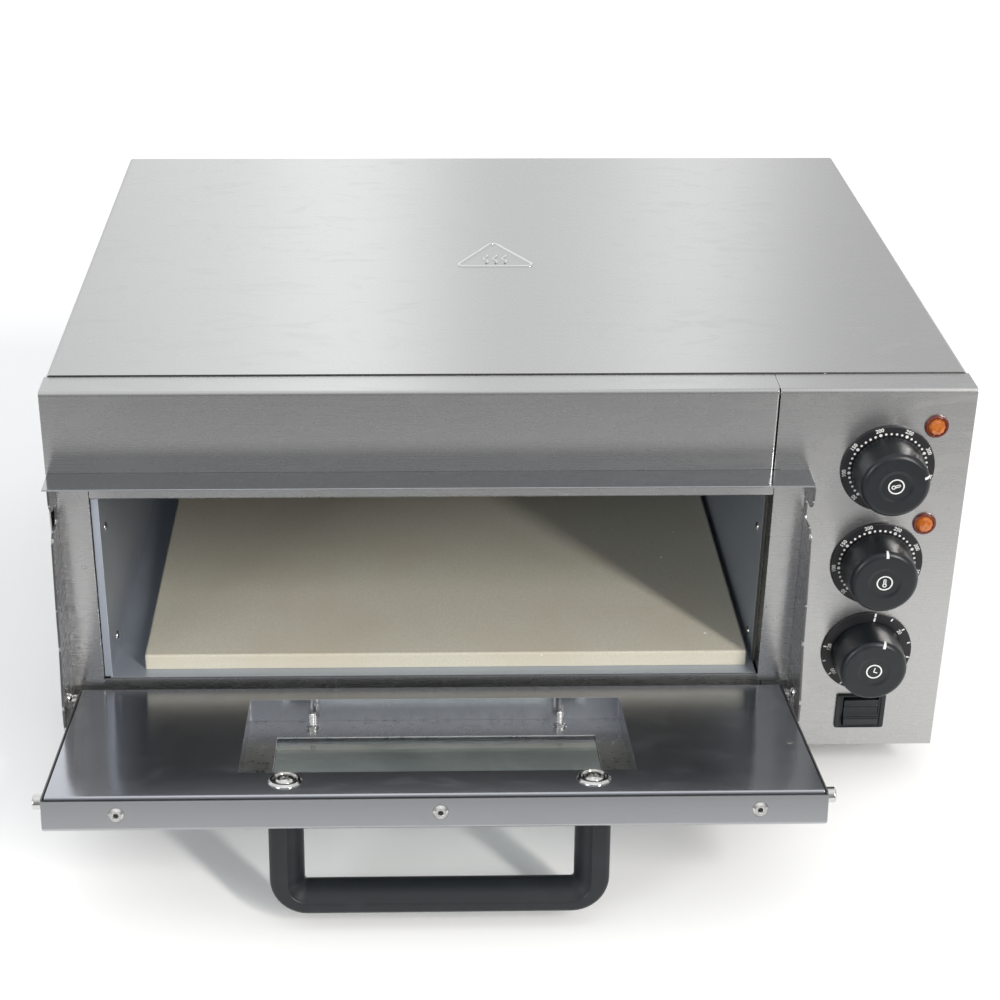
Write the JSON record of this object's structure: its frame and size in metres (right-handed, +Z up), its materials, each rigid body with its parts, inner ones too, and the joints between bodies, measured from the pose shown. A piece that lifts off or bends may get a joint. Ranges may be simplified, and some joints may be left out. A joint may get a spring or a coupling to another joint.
{
  "type": "deck oven",
  "caption": "Countertop electric deck oven with a drop-down glazed door, stone baking deck, upper and lower heat dials, timer dial and rocker switch.",
  "frame": {"origin": "on the surface the oven stands on, under the middle of the whole object with its door at rest (open)", "axes": "+X to the right seen from the front, +Y from the front to the back, +Z up"},
  "size_m": [0.562, 0.621, 0.2808],
  "materials": {
    "casing_steel": "satin",
    "chamber_steel": "satin",
    "galvanised_steel": "matte",
    "door_steel": "polished",
    "rock_wool": "matte",
    "heater_sheath": "matte",
    "fired_stone": "matte",
    "bright_metal": "bright",
    "black_plastic": "satin",
    "printed_ring": "matte",
    "control_body": "matte",
    "lamp_ring": "gloss",
    "lamp_lens": "translucent gloss",
    "window_glass": "clear",
    "foot_rubber": "matte"
  },
  "bodies": {
    "oven": {"top_cover": "casing_steel", "front_panel": "casing_steel", "control_panel": "casing_steel", "rear_panel": "casing_steel", "base_tray": "casing_steel", "kick_panel": "casing_steel", "partition": "galvanised_steel", "hood_ledge": "casing_steel", "left_cheek": "casing_steel", "right_cheek": "casing_steel", "left_post": "casing_steel", "right_post": "casing_steel", "door_lintel": "casing_steel", "chamber_floor": "chamber_steel", "chamber_left_wall": "chamber_steel", "chamber_right_wall": "chamber_steel", "chamber_back_wall": "chamber_steel", "chamber_ceiling": "chamber_steel", "chamber_rivets": "bright_metal", "ceiling_insulation": "rock_wool", "left_insulation": "rock_wool", "right_insulation": "rock_wool", "rear_insulation": "rock_wool", "floor_insulation": "rock_wool", "upper_element": "heater_sheath", "lower_element": "heater_sheath", "element_holders": "galvanised_steel", "baking_stone": "fired_stone", "thermostat_bulbs": "bright_metal", "upper_dial_ring": "printed_ring", "lower_dial_ring": "printed_ring", "timer_dial_ring": "printed_ring", "upper_thermostat": "control_body", "lower_thermostat": "control_body", "timer_movement": "control_body", "lamp_rings": "lamp_ring", "lamp_lenses": "lamp_lens", "switch_housing": "black_plastic", "terminal_block": "control_body", "cable_gland": "black_plastic", "feet": "foot_rubber", "casing_screws": "bright_metal", "hinge_pins": "bright_metal", "stop_pins": "bright_metal"},
    "door": {"door_outer_pan": "door_steel", "door_inner_panel": "door_steel", "window_glass": "window_glass", "glass_retainer": "galvanised_steel", "glass_clamp_screws": "bright_metal", "door_handle": "black_plastic", "handle_screws": "bright_metal", "door_edge_screws": "bright_metal", "latch_pins": "bright_metal"},
    "upper_heat_knob": {"upper_knob": "black_plastic", "upper_knob_shaft": "bright_metal"},
    "lower_heat_knob": {"lower_knob": "black_plastic", "lower_knob_shaft": "bright_metal"},
    "timer_knob": {"timer_knob": "black_plastic", "timer_knob_shaft": "bright_metal"},
    "rocker": {"switch_rocker": "black_plastic"}
  },
  "joints": [
    {"name": "door_hinge", "type": "hinge", "parent": "oven", "child": "door", "pos_m": [0, -0.1625, 0.0688], "axis": [-1, 0, 0], "range_deg": [0, 81.7]},
    {"name": "upper_heat_turn", "type": "hinge", "parent": "oven", "child": "upper_heat_knob", "pos_m": [0.2303, -0.1535, 0.2266], "axis": [0, 1, 0], "range_deg": [-237, 31]},
    {"name": "lower_heat_turn", "type": "hinge", "parent": "oven", "child": "lower_heat_knob", "pos_m": [0.2303, -0.1535, 0.1604], "axis": [0, 1, 0], "range_deg": [-165, 103]},
    {"name": "timer_turn", "type": "hinge", "parent": "oven", "child": "timer_knob", "pos_m": [0.2303, -0.1535, 0.0967], "axis": [0, 1, 0], "range_deg": [-15, 261]},
    {"name": "rocker_tilt", "type": "hinge", "parent": "oven", "child": "rocker", "pos_m": [0.2308, -0.1535, 0.0515], "axis": [1, 0, 0], "range_deg": [0, 16]}
  ]
}
